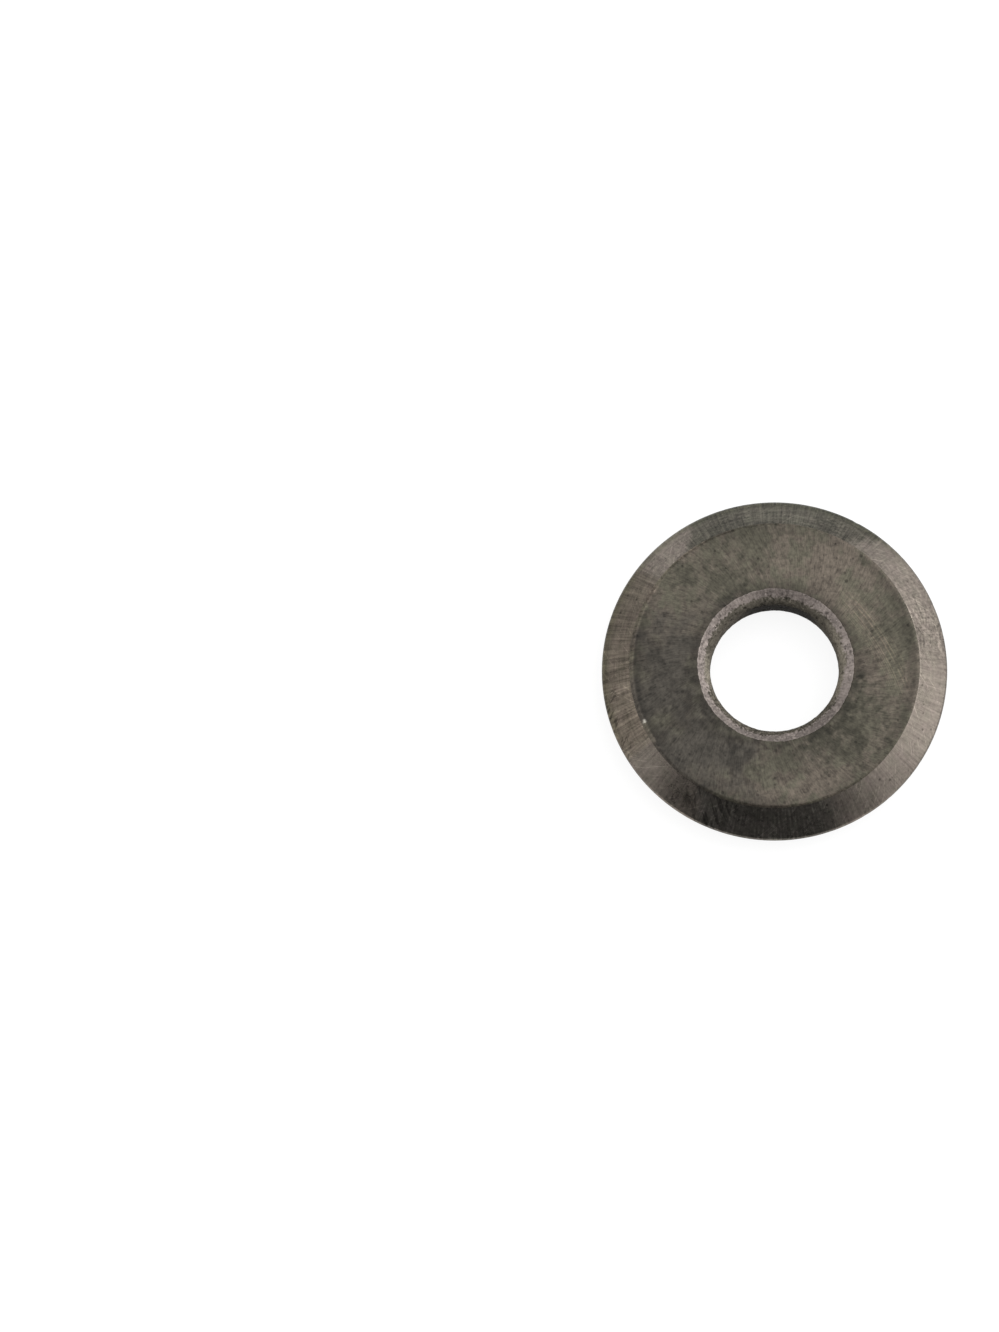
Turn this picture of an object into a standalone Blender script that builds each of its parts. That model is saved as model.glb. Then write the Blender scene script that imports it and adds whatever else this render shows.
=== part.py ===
"""Scoring wheel of a manual tile cutter: one turned ring of sintered tungsten carbide.

The wheel lies on one of its two flat faces. Its spin axis is +Z, and the origin is at the centre
of the bore, midway between the faces, in the plane of the cutting edge.
Run with: blender --background --python part.py
"""

import math

import bmesh
import bpy

MM = 0.001

# The ring
EDGE_DIAMETER = 22.0 * MM  # over the cutting edge
THICKNESS = 3.8 * MM  # from face to face
EDGE_ANGLE = math.radians(90.0)  # between the two bevels
EDGE_LAND = 0.06 * MM  # height of the narrow band that honing leaves on the edge
SHOULDER_RADIUS = 0.35 * MM  # rounds the corner between a bevel and its face

# The bore, the plain bearing that the wheel spins on
BORE_DIAMETER = 8.2 * MM
MOUTH_WIDTH = 0.5 * MM  # of the chamfer at each mouth of the bore, along the radius
MOUTH_ANGLE = math.radians(40.0)  # between that chamfer and the face
MOUTH_BLEND_RADIUS = 1.0 * MM  # carries the chamfer smoothly into the bore's wall

# How finely the round forms are divided
TURN_STEPS = 128
SHOULDER_STEPS = 3
BLEND_STEPS = 4

QUARTER_TURN = math.pi / 2
SHARP_ANGLE = math.radians(22.0)  # edges that bend more than this are left crisp


def arc(centre, radius, start, end, steps):
    """Points (r, z) from angle start to angle end, both counted from +r towards +z."""
    turns = [start + (end - start) * i / steps for i in range(steps + 1)]
    return [(centre[0] + radius * math.cos(a), centre[1] + radius * math.sin(a)) for a in turns]


def upper_profile():
    """The upper half of the ring's section, from the cutting edge inwards to the bore's wall.

    Gives the corner points (r, z), and for each the name of the surface that starts there.
    """
    face_height = THICKNESS / 2
    edge_radius = EDGE_DIAMETER / 2
    bore_radius = BORE_DIAMETER / 2

    # The bevel climbs from the land to the face. The shoulder arc touches both.
    slope = EDGE_ANGLE / 2
    bevel_run = (face_height - EDGE_LAND / 2) / math.tan(slope)
    shoulder_setback = SHOULDER_RADIUS * math.tan(slope / 2)
    shoulder_centre = (
        edge_radius - bevel_run - shoulder_setback,
        face_height - SHOULDER_RADIUS,
    )
    shoulder = arc(
        shoulder_centre, SHOULDER_RADIUS, QUARTER_TURN - slope, QUARTER_TURN, SHOULDER_STEPS
    )

    # The mouth falls as a straight chamfer, and then an arc turns it into the wall.
    blend_centre = (
        bore_radius + MOUTH_BLEND_RADIUS,
        face_height
        - MOUTH_WIDTH * math.tan(MOUTH_ANGLE)
        - MOUTH_BLEND_RADIUS * math.cos(MOUTH_ANGLE),
    )
    blend = arc(
        blend_centre, MOUTH_BLEND_RADIUS, QUARTER_TURN + MOUTH_ANGLE, math.pi, BLEND_STEPS
    )
    mouth = (blend[0][0] + MOUTH_WIDTH, face_height)

    points = [(edge_radius, EDGE_LAND / 2), *shoulder, mouth, *blend]
    surfaces = ["bevel"] * len(shoulder) + ["face"] + ["bore"] * (1 + len(blend))
    return points, surfaces


def whole_profile():
    """The closed section: the upper half, then its mirror image below the edge's plane."""
    points, surfaces = upper_profile()
    mirrored = [(r, -z) for r, z in reversed(points)]
    # A surface starts at its inner corner below the plane, where above it starts at the outer one.
    below = list(reversed(surfaces[:-1]))
    return points + mirrored, surfaces + below + ["bevel"]


def carbide(name, colour, roughness, metallic):
    """A finish of the wheel as a Principled BSDF."""
    material = bpy.data.materials.new(name)
    material.use_nodes = True
    shader = material.node_tree.nodes["Principled BSDF"]
    shader.inputs["Base Color"].default_value = (*colour, 1.0)
    shader.inputs["Roughness"].default_value = roughness
    shader.inputs["Metallic"].default_value = metallic
    return material


def finishes():
    """The three finishes of the one solid, by the name of the surface that has them."""
    return {
        "bevel": carbide("ground_carbide", (0.19, 0.17, 0.15), 0.32, 0.9),
        "face": carbide("lapped_carbide", (0.12, 0.11, 0.09), 0.45, 0.8),
        "bore": carbide("sintered_carbide", (0.20, 0.18, 0.17), 0.60, 0.6),
    }


def turned_ring(name, points, surfaces, materials):
    """Spins the closed section (r, z) round +Z into one closed solid."""
    ring = bmesh.new()
    corners = [ring.verts.new((r, 0.0, z)) for r, z in points]
    for i, corner in enumerate(corners):
        ring.edges.new((corner, corners[(i + 1) % len(corners)]))
    bmesh.ops.spin(
        ring,
        geom=ring.verts[:] + ring.edges[:],
        cent=(0.0, 0.0, 0.0),
        axis=(0.0, 0.0, 1.0),
        angle=2 * math.pi,
        steps=TURN_STEPS,
        use_merge=True,
    )
    bmesh.ops.recalc_face_normals(ring, faces=ring.faces[:])

    # Each face of the mesh lies on one side of the section, which names its finish.
    order = list(materials)
    sides = [
        ((a[0] + b[0]) / 2, (a[1] + b[1]) / 2) for a, b in zip(points, points[1:] + points[:1])
    ]
    for face in ring.faces:
        corners_rz = [(math.hypot(v.co.x, v.co.y), v.co.z) for v in face.verts]
        middle = [sum(c[k] for c in corners_rz) / len(corners_rz) for k in (0, 1)]
        nearest = min(range(len(sides)), key=lambda i: math.dist(sides[i], middle))
        face.material_index = order.index(surfaces[nearest])

    mesh = bpy.data.meshes.new(name)
    ring.to_mesh(mesh)
    ring.free()
    for material in materials.values():
        mesh.materials.append(material)
    mesh.shade_smooth()
    mesh.set_sharp_from_angle(angle=SHARP_ANGLE)
    return mesh


def main():
    for leftover in list(bpy.data.objects):
        bpy.data.objects.remove(leftover)
    points, surfaces = whole_profile()
    mesh = turned_ring("cutting_wheel", points, surfaces, finishes())
    wheel = bpy.data.objects.new("cutting_wheel", mesh)
    bpy.context.scene.collection.objects.link(wheel)


main()
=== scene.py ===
# %% [markdown]
# The scoring wheel of a manual tile cutter. It is one thick ring of cemented carbide, a very hard
# metal pressed from powder. Two bevels are ground on it, and where they meet they make the cutting
# edge. The faces are lapped flat, and the bore is left much as it came out of the furnace.
#
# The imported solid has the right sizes, but it is a plain turned ring. This file puts the same ring
# on a lathe again, finer, and gives it what a real one has: lines from the grinding wheel, a mouth
# of the bore that was broken by hand, pores, stains and scratches.

# %% Load the frame
import math

import bpy
from mathutils import Matrix, Vector, noise


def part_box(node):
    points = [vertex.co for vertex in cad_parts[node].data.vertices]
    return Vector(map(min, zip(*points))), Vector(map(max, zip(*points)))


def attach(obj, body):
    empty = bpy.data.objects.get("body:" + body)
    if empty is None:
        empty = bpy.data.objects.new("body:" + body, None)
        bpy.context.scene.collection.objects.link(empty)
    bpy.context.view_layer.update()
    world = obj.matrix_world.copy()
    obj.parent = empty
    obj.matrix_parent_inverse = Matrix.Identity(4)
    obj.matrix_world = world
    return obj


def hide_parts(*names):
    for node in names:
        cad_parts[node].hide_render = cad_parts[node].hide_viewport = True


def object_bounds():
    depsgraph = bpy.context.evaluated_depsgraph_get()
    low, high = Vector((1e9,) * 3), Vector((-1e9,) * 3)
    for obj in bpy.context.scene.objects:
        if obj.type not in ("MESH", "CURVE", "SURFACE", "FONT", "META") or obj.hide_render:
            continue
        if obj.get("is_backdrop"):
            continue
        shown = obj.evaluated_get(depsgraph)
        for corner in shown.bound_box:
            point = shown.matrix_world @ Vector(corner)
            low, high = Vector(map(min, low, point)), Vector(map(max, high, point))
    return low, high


MM = 0.001
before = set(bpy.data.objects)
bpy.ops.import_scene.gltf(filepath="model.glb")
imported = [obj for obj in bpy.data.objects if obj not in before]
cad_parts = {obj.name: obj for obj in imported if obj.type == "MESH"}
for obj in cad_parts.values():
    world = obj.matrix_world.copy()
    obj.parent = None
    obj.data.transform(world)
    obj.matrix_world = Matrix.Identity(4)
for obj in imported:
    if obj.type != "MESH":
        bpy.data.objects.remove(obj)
cad_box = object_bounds()
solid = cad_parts["cutting_wheel"]
low_corner, high_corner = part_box("cutting_wheel")
print("the solid is", [round(side / MM, 2) for side in high_corner - low_corner], "mm")

# %% [markdown]
# The camera comes first, because it decides what the light has to do. The photograph looks down
# on the wheel steeply, from a little in front. An ellipse fitted to the cutting edge gives the
# tilt: a circle that is seen from straight above is round, and each degree of tilt flattens it.
#
# The wheel lies right of the middle of the frame. Shifting the lens would put it there too, but
# the shift would spoil every other view. So the camera is turned by two degrees instead. Its far
# place and long lens keep the perspective weak, as in the photograph.

# %% Camera
PHOTO_WIDTH, PHOTO_HEIGHT = 999, 1332
WHEEL_IN_PHOTO = (774.4, 670.8)  # pixel that the wheel's centre falls on
PHOTO_SCALE = 15.68  # pixels for each mm at the wheel
VIEW_TILT = math.radians(11.6)  # between the line of sight and the wheel's axis
CAMERA_DISTANCE = 500 * MM

towards_camera = Vector((0, -math.sin(VIEW_TILT), math.cos(VIEW_TILT)))
image_up = Vector((0, math.cos(VIEW_TILT), math.sin(VIEW_TILT)))
image_right = Vector((1, 0, 0))
right_of_middle = (WHEEL_IN_PHOTO[0] - PHOTO_WIDTH / 2) / PHOTO_SCALE * MM
under_middle = (WHEEL_IN_PHOTO[1] - PHOTO_HEIGHT / 2) / PHOTO_SCALE * MM
aim = image_up * under_middle - image_right * right_of_middle

camera = bpy.data.objects.new("camera", bpy.data.cameras.new("camera"))
bpy.context.scene.collection.objects.link(camera)
bpy.context.scene.camera = camera
camera.location = towards_camera * CAMERA_DISTANCE
back = (camera.location - aim).normalized()
right = (image_right - back * image_right.dot(back)).normalized()
camera.rotation_euler = Matrix((right, back.cross(right), back)).transposed().to_euler()
focal_pixels = PHOTO_SCALE * CAMERA_DISTANCE / MM
camera.data.lens = camera.data.sensor_width * focal_pixels / PHOTO_HEIGHT
camera.data.clip_start = 10 * MM
camera.data.clip_end = 10
print("the lens is", round(camera.data.lens), "mm")

# %% [markdown]
# Shader nodes are wordy in Python, so four small helpers come first. One adds a node and fills its
# sockets, one does a sum, one blends two colours, and one rises smoothly between two values.

# %% Helpers for nodes
MIX_FACTOR, MIX_FIRST, MIX_SECOND, MIX_RESULT = 0, 6, 7, 2  # colour sockets of a Mix node


def add_node(tree, kind, inputs=None, **settings):
    """A new node. Each input is a value, or another node's output to link to."""
    node = tree.nodes.new(kind)
    for name, value in settings.items():
        setattr(node, name, value)
    for key, value in (inputs or {}).items():
        if isinstance(value, bpy.types.NodeSocket):
            tree.links.new(value, node.inputs[key])
        else:
            node.inputs[key].default_value = value
    return node


def calculate(tree, operation, *values):
    """One sum, and its result's socket."""
    return add_node(tree, "ShaderNodeMath", dict(enumerate(values)), operation=operation).outputs[0]


def blend_colours(tree, factor, first, second, way="MIX"):
    """The first colour where the factor is 0. Where it is 1, what the way makes of both."""
    sockets = {MIX_FACTOR: factor, MIX_FIRST: first, MIX_SECOND: second}
    mix = add_node(tree, "ShaderNodeMix", sockets, data_type="RGBA", blend_type=way)
    return mix.outputs[MIX_RESULT]


def ramp(tree, value, start, end, low=0.0, high=1.0):
    """Low up to start, high from end on, and a smooth rise between them."""
    sockets = {"Value": value, "From Min": start, "From Max": end, "To Min": low, "To Max": high}
    return add_node(
        tree, "ShaderNodeMapRange", sockets, interpolation_type="SMOOTHSTEP"
    ).outputs["Result"]


# %% [markdown]
# The floor is a sheet of pale paper. A lit white sheet alone would come out a light grey, so part
# of its light is its own, for the camera and for what the metal mirrors. The rest is ordinary
# lit paper, and there the wheel still throws its soft shadow. From below the paper is clear, so
# the wheel's lower side can be looked at too.

# %% Floor
FLOOR_SIZE = 6.0  # m
FLOOR_GAP = 0.01 * MM  # under the wheel, so that the two surfaces never share a plane
PAPER_COLOUR = (0.17, 0.17, 0.17, 1)
PAPER_GLOW = 0.88

bpy.ops.mesh.primitive_plane_add(size=FLOOR_SIZE, location=(0, 0, low_corner.z - FLOOR_GAP))
floor = bpy.context.active_object
floor.name = "floor"
floor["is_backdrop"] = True

paper = bpy.data.materials.new("pale_paper")
paper.use_nodes = True
tree = paper.node_tree
tree.nodes.clear()
rays = add_node(tree, "ShaderNodeLightPath").outputs
seen = calculate(tree, "MAXIMUM", rays["Is Camera Ray"], rays["Is Glossy Ray"])
seen = calculate(tree, "MAXIMUM", seen, rays["Is Transmission Ray"])
glow = add_node(
    tree, "ShaderNodeEmission", {"Strength": calculate(tree, "MULTIPLY", seen, PAPER_GLOW)}
)
matt = add_node(tree, "ShaderNodeBsdfDiffuse", {"Color": PAPER_COLOUR})
both = add_node(tree, "ShaderNodeAddShader", {0: glow.outputs[0], 1: matt.outputs[0]}).outputs[0]
clear = add_node(tree, "ShaderNodeBsdfTransparent").outputs[0]
from_below = add_node(tree, "ShaderNodeNewGeometry").outputs["Backfacing"]
sheet = add_node(tree, "ShaderNodeMixShader", {0: from_below, 1: both, 2: clear})
add_node(tree, "ShaderNodeOutputMaterial", {"Surface": sheet.outputs[0]})
floor.data.materials.append(paper)
print("the floor lies at", round(floor.location.z / MM, 3), "mm")

# %% [markdown]
# Metal shows what is around it. Each bevel leans by 45 degrees, so seen from above it mirrors the
# horizon on its own side: the right bevel mirrors the right, the front bevel the front. The
# photograph's bevel is bright on the right, near black in front and middling at the left. So
# there was a broad pale wall at the right, a tall lamp at the left, and a room that was dark in
# front and dim behind.
#
# The wall is painted into the world as a soft glow round one direction. A lamp would do as well,
# but its border would show in the metal. The two lamps are soft boxes. Their brightness is given
# as radiance, where 1 is white paper under plain light. Power follows from that and the area.

# %% Lamps
WATTS_PER_RADIANCE = 4.0  # of an area lamp, for each square metre


def direction(bearing, elevation):
    """A unit vector, from degrees clockwise from the right and degrees up."""
    turn, rise = math.radians(bearing), math.radians(elevation)
    flat = math.cos(rise)
    return Vector((math.cos(turn) * flat, -math.sin(turn) * flat, math.sin(rise)))


def soft_box(name, towards, distance, width, height, radiance):
    """A soft rectangular lamp in that direction from the wheel, facing it. Sizes are in metres."""
    lamp = bpy.data.lights.new(name, "AREA")
    lamp.shape = "RECTANGLE"
    lamp.size = width
    lamp.size_y = height
    lamp.energy = radiance * width * height * WATTS_PER_RADIANCE
    holder = bpy.data.objects.new(name, lamp)
    bpy.context.scene.collection.objects.link(holder)
    holder.location = towards * distance
    holder.rotation_euler = towards.to_track_quat("Z", "Y").to_euler()
    holder.visible_camera = False


overhead = direction(bearing=-50, elevation=74)
leftwards = direction(bearing=170, elevation=30)
soft_box("overhead_box", overhead, distance=0.58, width=0.70, height=0.70, radiance=1.35)
soft_box("left_box", leftwards, distance=0.50, width=0.50, height=0.54, radiance=0.80)
print("the lamps give", [round(lamp.energy, 2) for lamp in bpy.data.lights], "W")

# %% [markdown]
# The world holds the wall's glow and the rest of the room. How much of the glow comes from a
# direction depends on how well it agrees with the way to the wall. The rest of the room only
# knows front from back.

# %% Room
FRONT_RADIANCE = 0.13
BACK_RADIANCE = 0.45
ROOM_BLEND = 0.6  # the share of the way to the front or back where one has become the other
WALL_RADIANCE = 3.6
WALL_BEARING = -18  # degrees clockwise from the right
WALL_FOCUS = 2.0  # the power that narrows the glow

room = bpy.data.worlds.new("room")
room.use_nodes = True
bpy.context.scene.world = room
tree = room.node_tree
tree.nodes.clear()
way = add_node(tree, "ShaderNodeTexCoord").outputs["Generated"]
wall_way = direction(WALL_BEARING, elevation=0)
facing = add_node(tree, "ShaderNodeVectorMath", {0: way, 1: wall_way}, operation="DOT_PRODUCT")
facing = calculate(tree, "MAXIMUM", facing.outputs["Value"], 0.0)
wall_glow = calculate(tree, "POWER", facing, WALL_FOCUS)
wall_glow = calculate(tree, "MULTIPLY", wall_glow, WALL_RADIANCE)
backwards = add_node(tree, "ShaderNodeSeparateXYZ", {0: way}).outputs["Y"]
dim = ramp(tree, backwards, -ROOM_BLEND, ROOM_BLEND, FRONT_RADIANCE, BACK_RADIANCE)
strength = calculate(tree, "ADD", wall_glow, dim)
background = add_node(tree, "ShaderNodeBackground", {"Strength": strength})
add_node(tree, "ShaderNodeOutputWorld", {"Surface": background.outputs[0]})
bpy.context.scene.view_settings.view_transform = "Standard"
print("the room has", len(tree.nodes), "nodes")

# %% [markdown]
# A turned part is known by its section, the outline of a cut through its wall. The corners of the
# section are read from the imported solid, at one slice of the ring, so this ring follows it.
# Between them lie straight stretches and two arcs. Each arc touches its neighbour squarely at one
# end, and that and its two ends give its radius.

# %% Read the section
ON_SLICE = 0.001 * MM  # how near to the slice a corner counts as on it

slice_points = {
    (round(v.co.x / MM, 4), round(v.co.z / MM, 4))
    for v in solid.data.vertices
    if abs(v.co.y) < ON_SLICE and v.co.x > 0 and v.co.z > 0
}
wall_middle = sum(r for r, z in slice_points) / len(slice_points)
upper = sorted(slice_points, key=lambda p: math.atan2(p[1], p[0] - wall_middle))
face_height = max(z for r, z in upper)
edge = upper[0]
bevel_end = upper[1]
face_start, mouth = [p for p in upper if p[1] == face_height]
chamfer_end = upper[upper.index(mouth) + 1]
wall_start = upper[-1]
shoulder_rise = face_height - bevel_end[1]
shoulder_run = bevel_end[0] - face_start[0]
shoulder_radius = (shoulder_run**2 + shoulder_rise**2) / (2 * shoulder_rise)
throat_run = chamfer_end[0] - wall_start[0]
throat_rise = chamfer_end[1] - wall_start[1]
throat_radius = (throat_run**2 + throat_rise**2) / (2 * throat_run)
print("edge", edge, "face from", face_start[0], "to", mouth[0], "bore", wall_start[0])
print("shoulder radius", round(shoulder_radius, 3), "throat radius", round(throat_radius, 3))

# %% [markdown]
# The outline is drawn as a lathe hand would trace it: from the cutting edge up the bevel, over
# the rounded shoulder, in across the face, down the mouth of the bore and along its wall, and the
# same again on the lower side. Each stretch has its own number of steps, and they are short where
# something fine will be cut.

# %% Draw the outline
BEVEL_STEPS = 16
SHOULDER_STEPS = 5
FACE_STEPS = 16
BREAK_STEPS = 2
CHAMFER_STEPS = 9
THROAT_STEPS = 10
WALL_STEPS = 12
BREAK_RADIUS = 0.12  # mm, the worn corner between the face and the mouth of the bore


def straight(start, end, steps):
    """Points from start to just before end, evenly spaced."""
    return [
        (start[0] + (end[0] - start[0]) * i / steps, start[1] + (end[1] - start[1]) * i / steps)
        for i in range(steps)
    ]


def bow(centre, start, end, steps):
    """Points of the arc round centre, from start to just before end."""
    radius = math.dist(centre, start)
    first = math.atan2(start[1] - centre[1], start[0] - centre[0])
    last = math.atan2(end[1] - centre[1], end[0] - centre[0])
    turns = [first + (last - first) * i / steps for i in range(steps)]
    return [(centre[0] + radius * math.cos(a), centre[1] + radius * math.sin(a)) for a in turns]


mouth_slope = math.atan2(mouth[1] - chamfer_end[1], mouth[0] - chamfer_end[0])
break_reach = BREAK_RADIUS * math.tan(mouth_slope / 2)
break_start = (mouth[0] + break_reach, mouth[1])
break_end = (
    mouth[0] - break_reach * math.cos(mouth_slope),
    mouth[1] - break_reach * math.sin(mouth_slope),
)
break_centre = (break_start[0], face_height - BREAK_RADIUS)
shoulder_centre = (face_start[0], face_height - shoulder_radius)
throat_centre = (wall_start[0] + throat_radius, wall_start[1])

upper_half = straight(edge, bevel_end, BEVEL_STEPS)
upper_half += bow(shoulder_centre, bevel_end, face_start, SHOULDER_STEPS)
upper_half += straight(face_start, break_start, FACE_STEPS)
upper_half += bow(break_centre, break_start, break_end, BREAK_STEPS)
upper_half += straight(break_end, chamfer_end, CHAMFER_STEPS)
upper_half += bow(throat_centre, chamfer_end, wall_start, THROAT_STEPS)
wall = straight(wall_start, (wall_start[0], -wall_start[1]), WALL_STEPS)
lower_half = [(r, -z) for r, z in reversed(upper_half + [wall_start])]
section = upper_half + wall + lower_half
print("the outline has", len(section), "points")

# %% [markdown]
# One point is extruded along the outline, as by hand with the E key, and the line is closed with
# the F key. A Screw modifier with no climb turns it once round the axis. The Spin tool would make
# the same ring, but it takes far longer at this many steps. A cylinder with a hole cut in it
# would have long thin faces at the bore, and fine relief needs faces of even size.

# %% Turn the ring
TURN_STEPS = 720
SAME_POINT = 0.0005 * MM

bpy.ops.object.select_all(action="DESELECT")
bpy.ops.mesh.primitive_plane_add(size=MM)
wheel = bpy.context.active_object
wheel.name = "ground_wheel"
bpy.ops.object.mode_set(mode="EDIT")
bpy.ops.mesh.select_all(action="SELECT")
bpy.ops.mesh.merge(type="CENTER")
bpy.ops.transform.translate(value=(section[0][0] * MM, 0, section[0][1] * MM))
for (r, z), (next_r, next_z) in zip(section, section[1:]):
    step = ((next_r - r) * MM, 0, (next_z - z) * MM)
    bpy.ops.mesh.extrude_region_move(TRANSFORM_OT_translate={"value": step})
bpy.ops.object.mode_set(mode="OBJECT")
wheel.data.vertices[0].select = True
bpy.ops.object.mode_set(mode="EDIT")
bpy.ops.mesh.edge_face_add()
bpy.ops.object.mode_set(mode="OBJECT")

screw = wheel.modifiers.new("turn", "SCREW")
screw.steps = TURN_STEPS
screw.render_steps = TURN_STEPS
screw.use_merge_vertices = True
screw.merge_threshold = SAME_POINT
bpy.ops.object.modifier_apply(modifier=screw.name)
bpy.ops.object.mode_set(mode="EDIT")
bpy.ops.mesh.select_all(action="SELECT")
bpy.ops.mesh.normals_make_consistent(inside=False)
bpy.ops.object.mode_set(mode="OBJECT")
bpy.ops.object.shade_smooth()
print("the ring has", len(wheel.data.vertices), "points,", len(wheel.data.polygons), "faces")

# %% [markdown]
# Three finishes meet on the wheel, so its faces are shared out now, while the ring is still
# true: the ground bevels, the lapped faces with their rounded shoulders, and the bore with its
# mouths. Each face knows by the place of its middle which one it belongs to.

# %% Share out the faces
FINISHES = ["ground_bevel", "lapped_face", "sintered_bore"]
SLACK = 0.005  # mm, for faces that lie just on a border

for name in FINISHES:
    material = bpy.data.materials.new(name)
    material.use_nodes = True
    material.node_tree.nodes.clear()
    wheel.data.materials.append(material)

counts = dict.fromkeys(FINISHES, 0)
for face in wheel.data.polygons:
    radius = math.hypot(face.center.x, face.center.y) / MM
    if radius > bevel_end[0] + SLACK:
        finish = "ground_bevel"
    elif radius > mouth[0] + SLACK:
        finish = "lapped_face"
    else:
        finish = "sintered_bore"
    face.material_index = FINISHES.index(finish)
    counts[finish] += 1
print(counts)

# %% [markdown]
# Now the relief. Grinding leaves shallow grooves that run up the bevel. The mouth of the bore was
# broken by hand, so it lies a hair off centre and its border wanders. The pressed bore is rough
# and has pores, and the cutting edge has tiny nicks. All of it is less than a tenth of a
# millimetre, and it shows, because metal exaggerates every dent.
#
# Displace modifiers could do this, but their noise would be cut off where the turn begins and
# ends. Here each point is moved by noise that is read on a circle, so it closes on itself.

# %% Cut the relief
GROOVE_PITCH = 0.38  # mm along the rim, as every pitch here
FINE_GROOVE_PITCH = GROOVE_PITCH / 2.2
GROOVE_DEPTH = 0.005
NICK_PITCH = 0.5
NICK_DEPTH = 0.05
NICK_START = 0.45  # of the noise: only its peaks become nicks
NICK_REACH = 0.25
MOUTH_OFF_CENTRE = 0.077  # mm, towards the right
BORDER_WAVES = 1.9  # pitch of the border's long waves
BORDER_CRUMBS = 0.5
BORDER_WANDER = 0.045
BORDER_REACH = 0.35  # mm over which the wandering dies out
GRIT_SIZE = 0.3
BORE_ROUGHNESS = 0.014
PORE_SIZE = 0.2
PORE_DEPTH = 0.04
PORE_START = 0.4
PORE_STEEPNESS = 6
LOWER_SIDE = 40  # moves the noise, so that the two sides differ


def noise_round(place, pitch, stretch, seed):
    """Noise from -1 to 1, read on a circle so that it closes. Pitch is its size along the rim."""
    radius = math.hypot(place.x, place.y)
    ring = edge[0] / pitch
    spot = Vector((place.x / radius * ring, place.y / radius * ring, radius * stretch + seed))
    return noise.noise(spot + Vector((0, 0, place.z * stretch)))


def relief(place, outward):
    """Where a point at this place, in mm, goes."""
    radius = math.hypot(place.x, place.y)
    along = Vector((place.x / radius, place.y / radius, 0))
    side = 0 if place.z > 0 else LOWER_SIDE
    moved = place.copy()
    if radius > bevel_end[0]:
        depth = noise_round(place, GROOVE_PITCH, 0.35, side)
        depth += 0.6 * noise_round(place, FINE_GROOVE_PITCH, 0.5, side + 7)
        moved += outward * GROOVE_DEPTH * min(depth, 0)
        nick = max(0.0, noise_round(place, NICK_PITCH, 0, 3) - NICK_START)
        nearness = max(0.0, 1 - (edge[0] - radius) / NICK_REACH)
        moved -= along * NICK_DEPTH * nick * nearness
        return moved
    from_mouth = abs(radius - mouth[0])
    if abs(place.z) > chamfer_end[1] and from_mouth < BORDER_REACH:
        nearness = 1 - from_mouth / BORDER_REACH
        wander = noise_round(place, BORDER_WAVES, 0, side + 11)
        wander += 0.8 * noise_round(place, BORDER_CRUMBS, 0, side)
        moved += along * BORDER_WANDER * wander * nearness**2
        moved.x += MOUTH_OFF_CENTRE * nearness
    if radius < mouth[0]:
        rough = noise.fractal(place / GRIT_SIZE + Vector((side, 0, 0)), 1.0, 2.0, 3)
        moved += outward * BORE_ROUGHNESS * rough
        pore = max(0.0, noise.noise(place / PORE_SIZE + Vector((0, side, 5))) - PORE_START)
        moved -= outward * PORE_DEPTH * min(1.0, pore * PORE_STEEPNESS)
    return moved


furthest = 0.0
normals = [point.normal.copy() for point in wheel.data.vertices]
for point, outward in zip(wheel.data.vertices, normals):
    place = point.co / MM
    moved = relief(place, outward)
    furthest = max(furthest, (moved - place).length)
    point.co = moved * MM
wheel.data.update()
print("the furthest point moved by", round(furthest, 3), "mm")

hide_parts("cutting_wheel")
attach(wheel, "root")

# %% [markdown]
# The three finishes are the same metal, worked in three ways, so they share their building
# blocks. Each block is a node group: built once, and put into each material with its own values.
# The first finds a point's place on the wheel. Everything is read from the Object coordinates, in
# millimetres, so the patterns stay on the metal however the wheel is turned.

# %% Group: place on the wheel
GROUP_SOCKETS = {"float": "NodeSocketFloat", "vector": "NodeSocketVector"}


def new_group(name, inputs, outputs):
    """An empty node group, its inputs by name, and a function that sets an output."""
    tree = bpy.data.node_groups.new(name, "ShaderNodeTree")
    for socket, (kind, value) in inputs.items():
        made = tree.interface.new_socket(socket, in_out="INPUT", socket_type=GROUP_SOCKETS[kind])
        made.default_value = value
    for socket, kind in outputs.items():
        tree.interface.new_socket(socket, in_out="OUTPUT", socket_type=GROUP_SOCKETS[kind])
    entry = tree.nodes.new("NodeGroupInput").outputs
    leave = tree.nodes.new("NodeGroupOutput").inputs

    def give(socket, value):
        tree.links.new(value, leave[socket])

    return tree, entry, give


def use_group(tree, group, **inputs):
    """Places a group in a tree and fills its inputs. Returns its outputs."""
    node = tree.nodes.new("ShaderNodeGroup")
    node.node_tree = group
    for name, value in inputs.items():
        socket = node.inputs[name.replace("_", " ")]
        if isinstance(value, bpy.types.NodeSocket):
            tree.links.new(value, socket)
        else:
            socket.default_value = value
    return node.outputs


def ready(tree):
    """Says how large a group has become, and hands it on."""
    print(tree.name, "has", len(tree.nodes), "nodes")
    return tree


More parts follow.
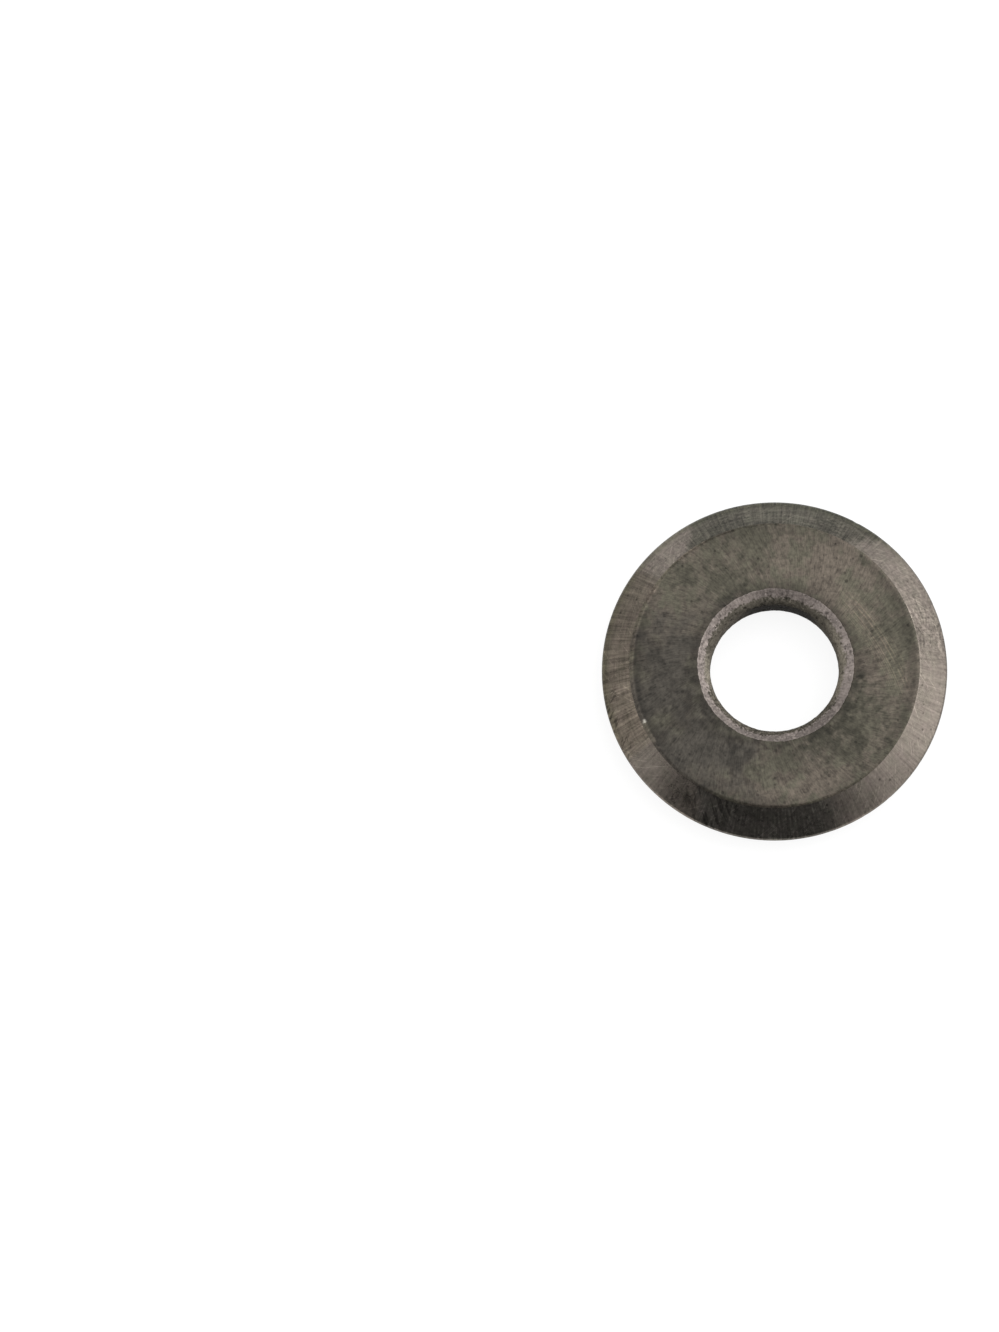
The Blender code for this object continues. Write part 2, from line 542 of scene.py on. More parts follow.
tree, entry, give = new_group(
    "wheel_place", {}, {"place": "vector", "radius": "float", "bearing": "float", "height": "float"}
)
object_place = add_node(tree, "ShaderNodeTexCoord").outputs["Object"]
place = add_node(
    tree, "ShaderNodeVectorMath", {0: object_place, "Scale": 1 / MM}, operation="SCALE"
).outputs[0]
parts = add_node(tree, "ShaderNodeSeparateXYZ", {0: place}).outputs
flat = add_node(tree, "ShaderNodeCombineXYZ", {"X": parts["X"], "Y": parts["Y"]}).outputs[0]
radius = add_node(tree, "ShaderNodeVectorMath", {0: flat}, operation="LENGTH").outputs["Value"]
front = calculate(tree, "MULTIPLY", parts["Y"], -1.0)
turn = calculate(tree, "DEGREES", calculate(tree, "ARCTAN2", front, parts["X"]))
bearing = calculate(tree, "WRAP", turn, 360.0, 0.0)
give("place", place)
give("radius", radius)
give("bearing", bearing)
give("height", parts["Z"])
wheel_place = ready(tree)

# %% [markdown]
# Lines that run from the bore to the rim can't come from a plain noise, whose spots are round.
# The noise is read instead on a circle of its own, and the wheel's radius climbs that circle's
# axis. So a mark gets one size along the rim and another along the radius: long lines, short
# flecks or fine rings, all from one group. A lean makes them slant, as a grinding wheel does.
#
# Blender's noise huddles round 0.5, so it is spread out until it reaches from 0 to 1.

# %% Group: brush marks
MARKS_GAIN = 2.2


def spread_out(tree, huddled, gain, contrast):
    """Noise that reaches from 0 to 1, and lies further apart with more contrast."""
    centred = calculate(tree, "SUBTRACT", huddled, 0.5)
    spread = calculate(tree, "MULTIPLY", centred, calculate(tree, "MULTIPLY", contrast, gain))
    return add_node(tree, "ShaderNodeClamp", {0: calculate(tree, "ADD", spread, 0.5)}).outputs[0]


tree, entry, give = new_group(
    "brush_marks",
    {
        "bearing": ("float", 0.0),
        "radius": ("float", 0.0),
        "along rim": ("float", 0.2),
        "along radius": ("float", 2.0),
        "lean": ("float", 0.0),
        "seed": ("float", 0.0),
        "contrast": ("float", 1.0),
    },
    {"marks": "float"},
)
leaning = calculate(tree, "MULTIPLY", entry["lean"], entry["radius"])
turn = calculate(tree, "RADIANS", calculate(tree, "ADD", entry["bearing"], leaning))
circle = calculate(tree, "DIVIDE", edge[0], entry["along rim"])
across = calculate(tree, "MULTIPLY", calculate(tree, "COSINE", turn), circle)
along = calculate(tree, "MULTIPLY", calculate(tree, "SINE", turn), circle)
climb = calculate(tree, "DIVIDE", entry["radius"], entry["along radius"])
climb = calculate(tree, "ADD", climb, entry["seed"])
spot = add_node(tree, "ShaderNodeCombineXYZ", {"X": across, "Y": along, "Z": climb}).outputs[0]
fibre = add_node(
    tree, "ShaderNodeTexNoise", {"Vector": spot, "Scale": 1.0, "Detail": 2.0, "Roughness": 0.6}
).outputs["Fac"]
give("marks", spread_out(tree, fibre, MARKS_GAIN, entry["contrast"]))
brush_marks = ready(tree)

# %% [markdown]
# Handled carbide is never one colour. Thin films of oil and oxide leave soft clouds, and the
# clouds have smaller ones inside them. This is plain noise, spread out in the same way.

# %% Group: clouds
CLOUDS_GAIN = 2.4

tree, entry, give = new_group(
    "clouds",
    {
        "place": ("vector", (0, 0, 0)),
        "size": ("float", 1.0),
        "detail": ("float", 3.0),
        "seed": ("float", 0.0),
        "contrast": ("float", 1.0),
    },
    {"clouds": "float"},
)
scale = calculate(tree, "DIVIDE", 1.0, entry["size"])
cloud = add_node(
    tree,
    "ShaderNodeTexNoise",
    {"Vector": entry["place"], "W": entry["seed"], "Scale": scale, "Detail": entry["detail"]},
    noise_dimensions="4D",
).outputs["Fac"]
give("clouds", spread_out(tree, cloud, CLOUDS_GAIN, entry["contrast"]))
clouds = ready(tree)

# %% [markdown]
# Pressed powder leaves pores, and dust leaves specks. A Voronoi texture scatters one point in
# each cell. A cell keeps its speck only if its own random number says so, and a second random
# number sets the speck's size, so no two look alike.

# %% Group: specks
SMALLEST_SPECK = 0.35  # of the largest one
SPECK_SOFTNESS = 0.6  # how much of a speck is its soft border

tree, entry, give = new_group(
    "specks",
    {
        "place": ("vector", (0, 0, 0)),
        "spacing": ("float", 0.5),
        "size": ("float", 0.1),
        "share": ("float", 0.5),
    },
    {"specks": "float"},
)
scale = calculate(tree, "DIVIDE", 1.0, entry["spacing"])
cells = add_node(tree, "ShaderNodeTexVoronoi", {"Vector": entry["place"], "Scale": scale}).outputs
dice = add_node(tree, "ShaderNodeSeparateColor", {0: cells["Color"]}).outputs
kept = calculate(tree, "LESS_THAN", dice["Red"], entry["share"])
distance = calculate(tree, "MULTIPLY", cells["Distance"], entry["spacing"])
own_share = ramp(tree, dice["Green"], 0.0, 1.0, SMALLEST_SPECK, 1.0)
own_size = calculate(tree, "MULTIPLY", entry["size"], own_share)
inside = calculate(tree, "SUBTRACT", 1.0, calculate(tree, "DIVIDE", distance, own_size))
soft = ramp(tree, inside, 0.0, SPECK_SOFTNESS)
give("specks", calculate(tree, "MULTIPLY", kept, soft))
specks = ready(tree)

# %% [markdown]
# The bevel was not ground in one even sweep. The grinding wheel stopped and started, and it left
# sectors that differ in shade and end quite sharply, along ragged lines. This group gives the
# mask of one such sector, between two bearings counted clockwise from the right. They hold at
# the cutting edge, and where a border doesn't point at the centre, it leans by some degrees for
# each millimetre inwards.

# %% Group: sector
tree, entry, give = new_group(
    "sector",
    {
        "bearing": ("float", 0.0),
        "radius": ("float", 0.0),
        "start": ("float", 0.0),
        "end": ("float", 90.0),
        "fade in": ("float", 2.0),
        "fade out": ("float", 2.0),
        "lean in": ("float", 0.0),
        "lean out": ("float", 0.0),
        "ragged": ("float", 3.0),
        "marks": ("float", 0.5),
    },
    {"mask": "float"},
)
centred = calculate(tree, "SUBTRACT", entry["marks"], 0.5)
shift = calculate(tree, "MULTIPLY", centred, entry["ragged"])
ragged = calculate(tree, "ADD", entry["bearing"], shift)
inwards = calculate(tree, "SUBTRACT", edge[0], entry["radius"])
start_lean = calculate(tree, "MULTIPLY", entry["lean in"], inwards)
end_lean = calculate(tree, "MULTIPLY", entry["lean out"], inwards)
start = calculate(tree, "ADD", entry["start"], start_lean)
end = calculate(tree, "ADD", entry["end"], end_lean)
past_start = calculate(tree, "DIVIDE", calculate(tree, "SUBTRACT", ragged, start), entry["fade in"])
before_end = calculate(tree, "DIVIDE", calculate(tree, "SUBTRACT", end, ragged), entry["fade out"])
begun = ramp(tree, past_start, -0.5, 0.5)
unfinished = ramp(tree, before_end, -0.5, 0.5)
give("mask", calculate(tree, "MINIMUM", begun, unfinished))
sector = ready(tree)

# %% [markdown]
# Stains are soft patches round a point, with a border that follows the clouds. The distance is
# taken in space and not on the plane, so a stain on the upper face doesn't show on the lower one.

# %% Group: stain
STAIN_CORE = 0.1  # the share of its reach where a stain is whole


def distance_between(tree, first, second):
    """How far apart two places lie."""
    return add_node(
        tree, "ShaderNodeVectorMath", {0: first, 1: second}, operation="DISTANCE"
    ).outputs["Value"]


tree, entry, give = new_group(
    "stain",
    {
        "place": ("vector", (0, 0, 0)),
        "centre": ("vector", (0, 0, 0)),
        "reach": ("float", 2.0),
        "clouds": ("float", 0.5),
    },
    {"mask": "float"},
)
gap = distance_between(tree, entry["place"], entry["centre"])
centred = calculate(tree, "SUBTRACT", entry["clouds"], 0.5)
shift = calculate(tree, "MULTIPLY", centred, entry["reach"])
way_out = calculate(tree, "DIVIDE", calculate(tree, "ADD", gap, shift), entry["reach"])
give("mask", ramp(tree, way_out, 1.0, STAIN_CORE))
stain = ready(tree)

# %% [markdown]
# Colours are written as they look in a picture, from 0 to 255, and a shader wants them linear.
# Most of what makes metal look used is not another hue but a little more or less of its own, so
# the second helper gathers marks, grain and stains into one tone that multiplies the colour.

# %% Helpers for the finishes
def seen_colour(red, green, blue):
    """A colour as it looks in a picture, made linear for a shader."""

    def linear(value):
        value /= 255
        return value / 12.92 if value <= 0.04045 else ((value + 0.055) / 1.055) ** 2.4

    return (linear(red), linear(green), linear(blue), 1)


def weigh(tree, *terms):
    """The sum of values times weights, given as pairs."""
    total = None
    for value, weight in terms:
        term = calculate(tree, "MULTIPLY", value, weight)
        total = term if total is None else calculate(tree, "ADD", total, term)
    return total


def tone(tree, *terms):
    """1, and more or less where values lie above or below 0.5, by their weights."""
    shift = sum(weight for value, weight in terms) / 2
    return calculate(tree, "SUBTRACT", weigh(tree, (1.0, 1.0), *terms), shift)


def shade(tree, colour, mask, factor):
    """The colour times the factor, a grey or a number, where the mask is 1."""
    if isinstance(factor, float):
        factor = (factor, factor, factor, 1)
    return blend_colours(tree, mask, colour, factor, way="MULTIPLY")


def finish_tree(name):
    """A finish's empty tree, the place on the wheel, and what brush marks need of it."""
    tree = bpy.data.materials[name].node_tree
    spot = use_group(tree, wheel_place)
    return tree, spot, {"bearing": spot["bearing"], "radius": spot["radius"]}


def marks_at(along_rim, along_radius, seed, lean=0.0):
    """Brush marks of that size in mm, in the finish at hand."""
    sizes = {"along_rim": along_rim, "along_radius": along_radius}
    return use_group(tree, brush_marks, **where, **sizes, seed=seed, lean=lean)["marks"]


def clouds_at(size, seed, contrast=1.0):
    """Clouds of that size in mm, in the finish at hand."""
    values = {"size": size, "seed": seed, "contrast": contrast}
    return use_group(tree, clouds, place=spot["place"], **values)["clouds"]


def specks_at(spacing, size, share):
    """Specks of up to that size in mm, in the finish at hand. The share is of the cells."""
    values = {"spacing": spacing, "size": size, "share": share}
    return use_group(tree, specks, place=spot["place"], **values)["specks"]


def sector_at(marks, start, end, fade_in, fade_out, **more):
    """Mask of one sector in degrees, its borders following the marks, in the finish at hand."""
    limits = {"start": start, "end": end, "fade_in": fade_in, "fade_out": fade_out}
    return use_group(tree, sector, **where, marks=marks, **limits, **more)["mask"]


def stains_at(stains, marks):
    """One mask for several stains, each a place and its reach in mm, in the finish at hand."""
    total = None
    for centre, reach in stains:
        mask = use_group(tree, stain, place=spot["place"], centre=centre, reach=reach, clouds=marks)
        total = mask["mask"] if total is None else calculate(tree, "MAXIMUM", total, mask["mask"])
    return total


def metal_out(tree, height, inputs):
    """Ends a finish: a bump from the height in metres, the metal, and the output."""
    bump = add_node(tree, "ShaderNodeBump", {"Strength": 1.0, "Distance": 1.0, "Height": height})
    metal = add_node(tree, "ShaderNodeBsdfPrincipled", {**inputs, "Normal": bump.outputs[0]})
    add_node(tree, "ShaderNodeOutputMaterial", {"Surface": metal.outputs[0]})
    print("this finish has", len(tree.nodes), "nodes")


# %% [markdown]
# The ground bevel. Its lines run up the slope, and they scatter light sideways but hardly up and
# down. That is what the anisotropic setting is for, with a tangent that runs round the wheel's
# axis. It keeps the front bevel dark, though bright paper lies just under what it mirrors.
#
# The sectors are the ones in the photograph: burnt in front, smooth beside it, streaked brown at
# the left, a smooth patch, then a long olive one at the back with faint rings across its lines.
# The burnt and the olive sectors are also darker as painted shade. The olive one ends at the right
# in a slant, and where it begins, painted shade lies along the shoulder. Along the left and the
# back, the bevel is darker and greener in a rim along the cutting edge.

# %% Finish: ground bevel
GREY_CARBIDE = seen_colour(120, 111, 104)
BROWN_CARBIDE = seen_colour(101, 92, 83)
# The olive colour at the back is darker than the olive finish alone, as painted shade.
SHADED_OLIVE_CARBIDE = seen_colour(84, 80, 72)
OILY_SPOTS = [((3.3, 9.0, 1.4), 1.3), ((-2.6, 9.4, 1.1), 1.0)]
OLIVE_START, OLIVE_END, BRIGHT_START = 241, 309, 324
BURNT_LEAN, START_LEAN, END_LEAN = 3.4, -4.3, -5.0  # degrees for each mm inwards

tree, spot, where = finish_tree("ground_bevel")
fine = marks_at(along_rim=0.13, along_radius=1.6, seed=1.0)
coarse = marks_at(along_rim=0.42, along_radius=3.0, seed=5.0)
slanted = marks_at(along_rim=0.4, along_radius=1.0, seed=7.0, lean=5.0)
hairlines_and_glints = marks_at(along_rim=0.1, along_radius=0.9, seed=12.0, lean=-7.0)
rings = marks_at(along_rim=2.5, along_radius=0.16, seed=3.0)
broad = clouds_at(size=2.0, seed=3.0)
grain = clouds_at(size=0.2, seed=8.0)
blots = clouds_at(size=0.6, seed=11.0, contrast=1.3)
black = specks_at(spacing=0.55, size=0.13, share=0.3)

burnt_and_shaded = sector_at(coarse, 68, 116, 14, 8, lean_out=BURNT_LEAN, ragged=5.0)
sooty = sector_at(coarse, 106, 123, 8, 4, lean_out=BURNT_LEAN)
streaked = sector_at(coarse, 148, 217, 8, 8)
notched = sector_at(coarse, 148, 174, 4, 8)
smooth_patch = sector_at(coarse, 217, OLIVE_START, 8, 5, lean_out=START_LEAN)
olive_and_shaded_patch = sector_at(
    coarse, OLIVE_START, OLIVE_END, 5, 8, lean_in=START_LEAN, lean_out=END_LEAN, ragged=5.0
)
shaded_shoulder_patch = sector_at(coarse, 246, 276, 6, 12)
worn_patch = sector_at(coarse, 253, 285, 6, 5)
bright_patch = sector_at(coarse, BRIGHT_START, 340, 16, 12, lean_in=END_LEAN, ragged=5.0)
rough_patch = sector_at(coarse, 338, 354, 6, 6)
rim_part = sector_at(coarse, 158, 318, 20, 20)

colour = blend_colours(tree, streaked, GREY_CARBIDE, BROWN_CARBIDE)
# The olive sector is olive in its own right, and darker still as painted shade, here and in its 0.93
# below.
colour = blend_colours(tree, olive_and_shaded_patch, colour, SHADED_OLIVE_CARBIDE)
colour = shade(tree, colour, blots, (0.96, 1.0, 0.96, 1))
# The burnt sector in front is partly its own finish and partly painted shade: its colour is darkened
# here.
colour = shade(tree, colour, burnt_and_shaded, (0.66, 0.7, 0.72, 1))
colour = shade(tree, colour, notched, 1.15)
colour = shade(tree, colour, olive_and_shaded_patch, 0.93)
colour = shade(tree, colour, worn_patch, 1.12)
# Painted shade on the bevel along the shoulder, where the olive sector begins.
by_shoulder = ramp(tree, spot["radius"], bevel_end[0] + 0.7, bevel_end[0])
colour = shade(tree, colour, calculate(tree, "MULTIPLY", by_shoulder, shaded_shoulder_patch), 0.76)
colour = shade(tree, colour, bright_patch, 1.17)
colour = shade(tree, colour, stains_at(OILY_SPOTS, grain), 0.72)
lines = tone(tree, (fine, 0.4), (coarse, 0.2), (grain, 0.35), (broad, 0.2), (rings, 0.15))
colour = shade(tree, colour, 1.0, lines)
woven = tone(tree, (rings, 0.5), (fine, 0.5), (grain, 0.3))
colour = shade(tree, colour, olive_and_shaded_patch, woven)
crossed = tone(tree, (rings, 0.25), (grain, 0.3))
colour = shade(tree, colour, bright_patch, crossed)
colour = shade(tree, colour, smooth_patch, tone(tree, (blots, 0.25), (rings, 0.15), (grain, 0.25)))
colour = shade(tree, colour, rough_patch, tone(tree, (rings, 0.5), (grain, 0.7)))
colour = shade(tree, colour, streaked, tone(tree, (coarse, 0.35), (fine, 0.4), (rings, 0.3)))
near_edge = ramp(tree, spot["radius"], bevel_end[0] + 0.6, edge[0] - 0.4)
gouges = ramp(tree, slanted, 0.46, 0.3)
notches = calculate(tree, "MULTIPLY", gouges, near_edge)
colour = shade(tree, colour, calculate(tree, "MULTIPLY", notches, notched), 0.5)
colour = shade(tree, colour, calculate(tree, "MULTIPLY", gouges, sooty), 0.6)
colour = shade(tree, colour, calculate(tree, "MULTIPLY", gouges, burnt_and_shaded), 0.85)
# A darker, greener rim along the cutting edge at the left and the back.
wandering_rim = calculate(tree, "ADD", spot["radius"], weigh(tree, (fine, 0.25), (1.0, -0.125)))
darker_rim = calculate(tree, "MULTIPLY", ramp(tree, wandering_rim, edge[0] - 0.55, edge[0] - 0.1), rim_part)
colour = shade(tree, colour, darker_rim, (0.76, 0.8, 0.72, 1))
colour = shade(tree, colour, black, 0.5)
# Fine bright lines, partly scratches and partly painted glints.
colour = shade(tree, colour, ramp(tree, hairlines_and_glints, 0.72, 0.9), 1.5)
dust = calculate(tree, "MULTIPLY", ramp(tree, fine, 0.5, 0.8), ramp(tree, grain, 0.2, 0.8))
colour = shade(tree, colour, calculate(tree, "MULTIPLY", dust, burnt_and_shaded), (1.4, 1.42, 1.42, 1))

height = weigh(tree, (fine, 0.0014 * MM), (coarse, 0.003 * MM), (grain, 0.0014 * MM))
tangent = add_node(tree, "ShaderNodeTangent", direction_type="RADIAL", axis="Z")
metal_out(
    tree,
    height,
    {
        "Base Color": colour,
        "Metallic": 1.0,
        "Roughness": weigh(tree, (1.0, 0.24), (broad, 0.05), (grain, 0.06)),
        "Anisotropic": 0.6,
        "Tangent": tangent.outputs[0],
    },
)

# %% [markdown]
# The lapped face. Lapping rubs the face on a flat plate with loose grit, and leaves it duller and
# darker than the bevel, brown where it was rubbed well and olive where oil has stayed. Over that
# lie short flecks and a few scratches. Dirt has gathered round the mouth of the bore and along
# the shoulder. The stains are placed where the photograph has them.

# %% Finish: lapped face
BROWN_FACE = seen_colour(84, 77, 69)
OLIVE_FACE = seen_colour(76, 73, 63)
GREY_FACE = seen_colour(71, 67, 61)
UPPER = face_height
LIGHT_STAINS = [((4.4, 5.8, UPPER), 4.6), ((0.6, 6.5, UPPER), 2.2), ((1.8, -7.8, UPPER), 3.3)]
OLIVE_STAINS = [
    ((5.0, -3.6, UPPER), 3.6),
    ((7.8, 2.4, UPPER), 3.0),
    ((-3.0, 5.2, UPPER), 3.0),
    ((-5.8, 5.9, UPPER), 2.0),
    ((-1.4, 8.3, UPPER), 2.4),
    ((2.8, -4.9, UPPER), 2.2),
]
DARK_STAINS = [((-6.8, -1.6, UPPER), 6.6), ((-4.8, -5.0, UPPER), 5.6), ((-1.0, -6.0, -UPPER), 4.0)]
SOOT = [
    ((-2.7, -4.5, UPPER), 1.4),
    ((4.7, -4.0, UPPER), 2.2),
    ((3.1, -5.1, UPPER), 2.8),
    ((1.0, -5.9, UPPER), 2.6),
    ((-1.9, -6.4, UPPER), 1.8),
    ((-4.1, -4.0, UPPER), 2.0),
    ((-5.6, -3.0, UPPER), 2.6),
    ((-5.2, -0.6, UPPER), 1.2),
    ((-7.9, 0.6, UPPER), 1.8),
    ((-6.9, -4.3, UPPER), 1.4),
    ((6.1, -0.1, UPPER), 1.3),
]
CHIP = (-8.2, -3.68, 1.88)  # where something hard has bruised the shoulder

tree, spot, where = finish_tree("lapped_face")
flecks = marks_at(along_rim=0.13, along_radius=0.35, seed=2.0, lean=3.0)
fibres = marks_at(along_rim=0.12, along_radius=1.2, seed=9.0, lean=2.0)
patches = clouds_at(size=1.5, seed=1.0, contrast=1.2)
mottle = clouds_at(size=0.55, seed=4.0, contrast=1.3)
grain = clouds_at(size=0.2, seed=6.0, contrast=1.3)
pits = specks_at(spacing=0.55, size=0.16, share=0.4)

blotches = ramp(tree, weigh(tree, (patches, 0.6), (mottle, 0.4)), 0.35, 0.75)
oily = calculate(tree, "MAXIMUM", stains_at(OLIVE_STAINS, mottle), blotches)
colour = blend_colours(tree, oily, BROWN_FACE, OLIVE_FACE)
dark = stains_at(DARK_STAINS, patches)
colour = blend_colours(tree, dark, colour, GREY_FACE)
colour = shade(tree, colour, dark, 0.76)
colour = shade(tree, colour, stains_at(OLIVE_STAINS, mottle), 0.84)
colour = shade(tree, colour, stains_at(LIGHT_STAINS, mottle), 1.2)
colour = shade(tree, colour, stains_at(SOOT, mottle), 0.7)
surface = tone(tree, (flecks, 0.4), (fibres, 0.4), (grain, 0.6), (mottle, 0.25), (patches, 0.1))
colour = shade(tree, colour, 1.0, surface)
colour = shade(tree, colour, pits, 0.55)
# The chip's bright speck is partly bare broken metal and partly a painted highlight.
colour = shade(tree, colour, stains_at([(CHIP, 0.17)], grain), (4.6, 5.0, 5.4, 1))

# %% [markdown]
# The scratches are a bundle of fine arcs round one far centre, on the right of the face. A noise
# of one dimension, read across the bundle, gives the lines. The clouds break them up.

# %% Scratches
SCRATCH_CENTRE = (-8.0, -7.6, 0)
SCRATCH_MIDDLE = (6.6, 1.5, 0)
SCRATCH_SPREAD = 1.1  # mm, half of the bundle's width
SCRATCH_LENGTH = 4.6  # mm, half of its length
SCRATCH_PITCH = 0.11

flat = add_node(
    tree, "ShaderNodeVectorMath", {0: spot["place"], 1: (1, 1, 0)}, operation="MULTIPLY"
).outputs[0]
out = distance_between(tree, flat, SCRATCH_CENTRE)
from_middle = distance_between(tree, flat, SCRATCH_MIDDLE)
arc_radius = math.dist(SCRATCH_CENTRE, SCRATCH_MIDDLE)
off_arc = calculate(tree, "ABSOLUTE", calculate(tree, "SUBTRACT", out, arc_radius))
within = calculate(
    tree,
    "MULTIPLY",
    ramp(tree, off_arc, SCRATCH_SPREAD, 0.3 * SCRATCH_SPREAD),
    ramp(tree, from_middle, SCRATCH_LENGTH, 0.5 * SCRATCH_LENGTH),
)
within = calculate(tree, "MULTIPLY", within, ramp(tree, spot["height"], 0.0, 0.1))
comb = add_node(
    tree,
    "ShaderNodeTexNoise",
    {"W": calculate(tree, "DIVIDE", out, SCRATCH_PITCH), "Scale": 1.0, "Detail": 1.0},
    noise_dimensions="1D",
).outputs["Fac"]
scratches = calculate(tree, "MULTIPLY", ramp(tree, comb, 0.5, 0.64), within)
scratches = calculate(tree, "MULTIPLY", scratches, ramp(tree, mottle, 0.0, 0.6))
colour = shade(tree, colour, scratches, (1.44, 1.38, 1.34, 1))
colour = shade(tree, colour, within, 1.12)
print("the scratches run", round(arc_radius, 1), "mm from their centre")

# %% [markdown]
# The dirt round the mouth and along the shoulder ends where the metal is rubbed bare again. At
# the left the dirt is thicker and the bare shoulder a little wider. In front and at the back
# hardly any dirt is left. At the back left there is no dirt, and a painted highlight on the
# shoulder lets the face and the bevel run into each other.

# %% Dirt and a painted highlight along the borders
RUBBED_MORE = 0.13  # mm by which the dirt ends sooner at the left
DIRT_WANDER = 0.4  # mm that the dirt's borders wander in and out
MOUTH_DIRT = 0.85  # how thick the dirt is round the mouth

wander = weigh(tree, (mottle, DIRT_WANDER), (1.0, -DIRT_WANDER / 2))
uneven_radius = calculate(tree, "ADD", spot["radius"], wander)
by_mouth = ramp(tree, uneven_radius, mouth[0] + 0.9, mouth[0] + 0.15, high=MOUTH_DIRT)
colour = shade(tree, colour, by_mouth, 0.6)
right_part = sector_at(mottle, 34, 84, 14, 14, ragged=8.0)
front_part = sector_at(mottle, 122, 148, 12, 14, ragged=8.0)
left_part = sector_at(mottle, 144, 218, 14, 12, ragged=8.0)
highlit_shoulder_part = sector_at(mottle, 206, 240, 12, 8, ragged=8.0)
back_part = sector_at(mottle, 236, 308, 14, 14, ragged=8.0)
wider = calculate(tree, "MULTIPLY", left_part, RUBBED_MORE)
near_rim = calculate(tree, "ADD", spot["radius"], wider)
caked = ramp(tree, uneven_radius, face_start[0] - 0.75, face_start[0] - 0.1)
bare = ramp(tree, near_rim, face_start[0] + 0.03, bevel_end[0])
caked = calculate(tree, "SUBTRACT", caked, bare)
clean_and_highlit = weigh(tree, (back_part, 0.5), (right_part, 0.5), (front_part, 0.6))
# At the back left the dirt is left out and the shoulder is lightened as a painted highlight.
clean_and_highlit = calculate(tree, "MAXIMUM", highlit_shoulder_part, clean_and_highlit)
dirty = calculate(tree, "MULTIPLY", caked, calculate(tree, "SUBTRACT", 1.0, clean_and_highlit))
colour = shade(tree, colour, dirty, 0.7)
colour = shade(tree, colour, calculate(tree, "MULTIPLY", dirty, left_part), 0.78)
polish = ramp(tree, near_rim, face_start[0] - 0.01, bevel_end[0] - 0.05)
rubbed_and_highlit = weigh(tree, (left_part, 0.75), (back_part, 0.15), (right_part, 0.2), (front_part, 0.4))
rubbed_and_highlit = calculate(tree, "MAXIMUM", rubbed_and_highlit, highlit_shoulder_part)
colour = shade(tree, colour, calculate(tree, "MULTIPLY", polish, rubbed_and_highlit), (1.85, 1.8, 1.8, 1))
outer_half = ramp(tree, spot["radius"], bevel_end[0] - 0.15, bevel_end[0] - 0.05)
# A painted highlight on the outer half of the shoulder at the back left.
colour = shade(tree, colour, calculate(tree, "MULTIPLY", outer_half, highlit_shoulder_part), 1.4)

height = weigh(
    tree,
    (flecks, 0.0014 * MM),
    (grain, 0.0018 * MM),
    (pits, -0.008 * MM),
    (scratches, 0.002 * MM),
)
metal_out(
    tree,
    height,
    {
        "Base Color": colour,
        "Metallic": 0.8,
        "Roughness": weigh(tree, (1.0, 0.38), (patches, 0.06), (grain, 0.08)),
    },
)

# %% [markdown]
# The bore is as the furnace left it: matt, grey-green and full of pores. Only the chamfer at each
# mouth was touched with a stone, so it is a paler, pinkish band with a crumbly inner border. A
# matt surface takes its light from all sides, where a shiny one would mirror the paper under the
# wheel. Its wall is painted lighter at the sides and dark at the back, and the upper throat darker
# at the left, the back and in front: painted light and shade. Lighter patches on the mouth at the
# right and at the back are painted highlights.

# %% Finish: sintered bore
STONED_MOUTH = seen_colour(134, 125, 120)
SINTERED_THROAT = seen_colour(118, 112, 101)
LIT_SIDE_WALL = seen_colour(106, 100, 90)
SHADED_BACK_WALL = seen_colour(52, 49, 45)
LIT_MOUTH = [((4.7, 0.4, UPPER), 3.4), ((-2.2, 4.2, UPPER), 1.6), ((3.2, 3.6, UPPER), 1.6)]
DULL_MOUTH = [((-0.6, -4.7, UPPER), 4.4), ((2.4, -4.2, UPPER), 2.8), ((-3.3, -3.4, UPPER), 2.6)]

tree, spot, where = finish_tree("sintered_bore")
grain = clouds_at(size=0.15, seed=2.0, contrast=1.5)
patches = clouds_at(size=0.9, seed=5.0)
strokes = marks_at(along_rim=0.28, along_radius=0.5, seed=4.0)
pores = specks_at(spacing=0.32, size=0.17, share=0.55)
crystals = specks_at(spacing=0.3, size=0.09, share=0.3)

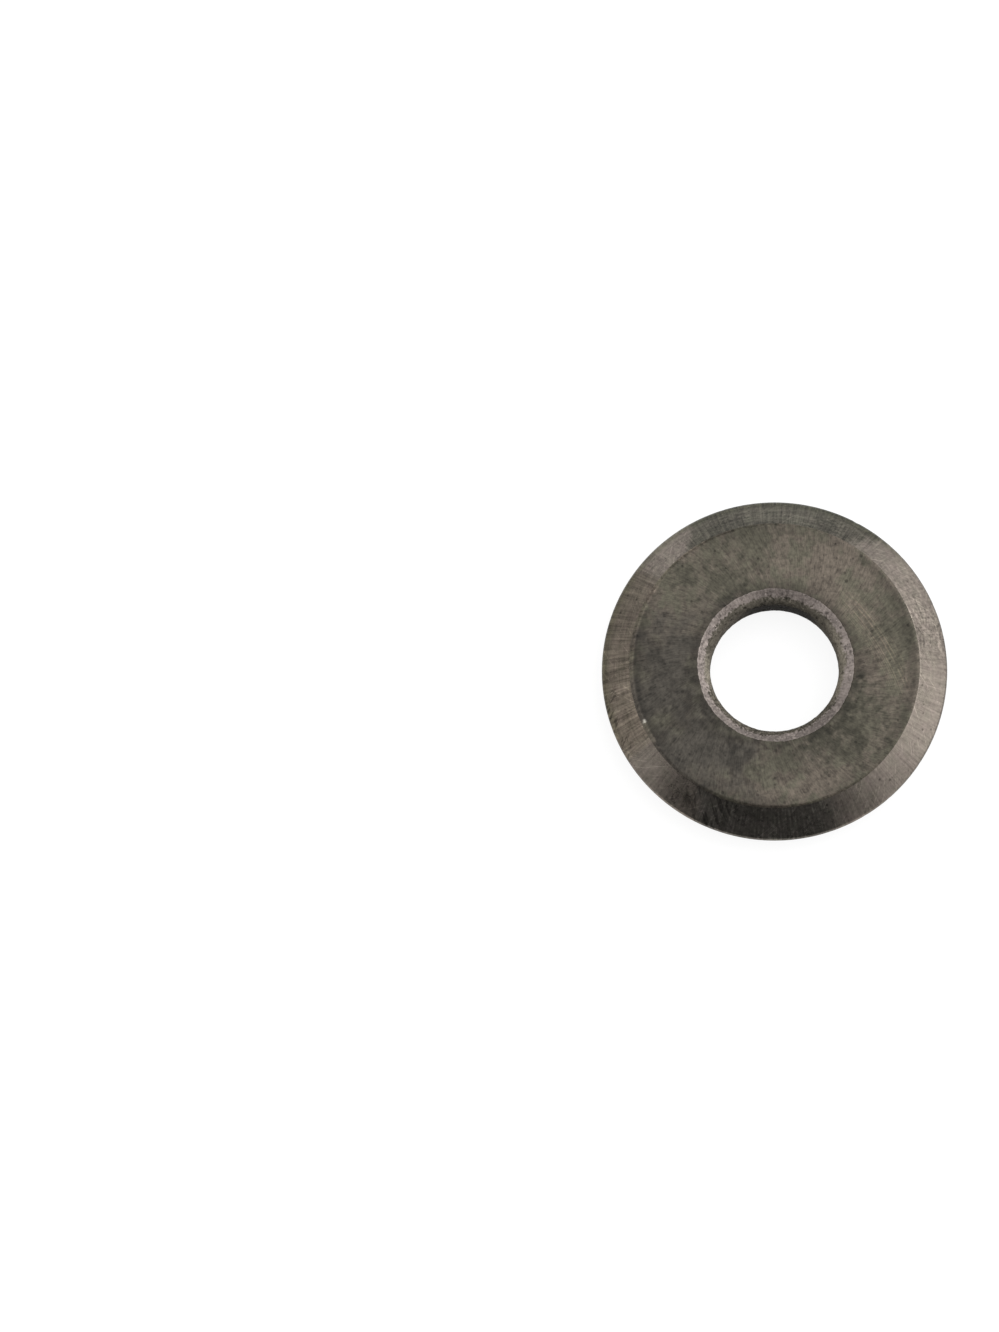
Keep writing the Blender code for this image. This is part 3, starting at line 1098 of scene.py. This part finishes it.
crumbly_part = sector_at(patches, 312, 359, 16, 4)
front_part = sector_at(patches, 30, 165, 14, 20)
depth = calculate(tree, "ABSOLUTE", spot["height"])
crumbs = weigh(tree, (patches, 0.1), (grain, 0.2), (1.0, -0.15), (crumbly_part, -0.08))
depth = calculate(tree, "ADD", depth, crumbs)
inner = ramp(tree, depth, chamfer_end[1] + 0.07, chamfer_end[1] - 0.05)
deep = ramp(tree, depth, chamfer_end[1] - 0.3, wall_start[1])
back_part = sector_at(patches, 242, 310, 18, 16)
shaded_throat_part = sector_at(patches, 190, 322, 12, 14)
dull = stains_at(DULL_MOUTH, grain)
colour = blend_colours(tree, inner, STONED_MOUTH, SINTERED_THROAT)
# The wall is painted lighter at the sides and dark at the back: painted light and shade.
wall = blend_colours(tree, back_part, LIT_SIDE_WALL, SHADED_BACK_WALL)
colour = blend_colours(tree, deep, colour, wall)
upper_throat = calculate(tree, "SUBTRACT", inner, deep)
# Painted shade on the upper throat, at the left and the back and in front.
colour = shade(tree, colour, calculate(tree, "MULTIPLY", upper_throat, shaded_throat_part), 0.58)
colour = shade(tree, colour, calculate(tree, "MULTIPLY", upper_throat, front_part), 0.6)
stoned = tone(tree, (patches, 0.35), (grain, 0.55), (strokes, 0.5))
evenness = weigh(tree, (dull, 0.5), (inner, 1.0))
colour = shade(tree, colour, calculate(tree, "SUBTRACT", 1.0, evenness), stoned)
colour = shade(tree, colour, inner, tone(tree, (patches, 0.3), (grain, 0.8)))
on_chamfer = weigh(tree, (1.0, 0.5), (dull, -0.3), (crumbly_part, 0.4))
share = calculate(tree, "MAXIMUM", inner, on_chamfer)
colour = shade(tree, colour, calculate(tree, "MULTIPLY", pores, share), 0.42)
colour = shade(tree, colour, calculate(tree, "MULTIPLY", crystals, share), 1.8)
# Painted highlights on the mouth, at the right and at the back.
colour = shade(tree, colour, stains_at(LIT_MOUTH, grain), 1.25)
colour = shade(tree, colour, dull, 0.74)

metal_out(
    tree,
    weigh(tree, (grain, 0.010 * MM), (pores, -0.015 * MM), (crystals, 0.010 * MM)),
    {
        "Base Color": colour,
        "Metallic": ramp(tree, inner, 0.0, 1.0, 0.35, 0.0),
        "Roughness": ramp(tree, inner, 0.0, 1.0, 0.5, 0.8),
        "Specular IOR Level": 0.1,
    },
)

# %% [markdown]
# The last cell compares the wheel's box with the imported solid's. Relief only ever takes a little
# away at the edge, so the two should agree to a few hundredths of a millimetre.

# %% Compare the sizes
own_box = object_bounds()
gaps = [round((own - cad) / MM, 3) for a, b in zip(cad_box, own_box) for cad, own in zip(a, b)]
print("the boxes differ by", gaps, "mm")
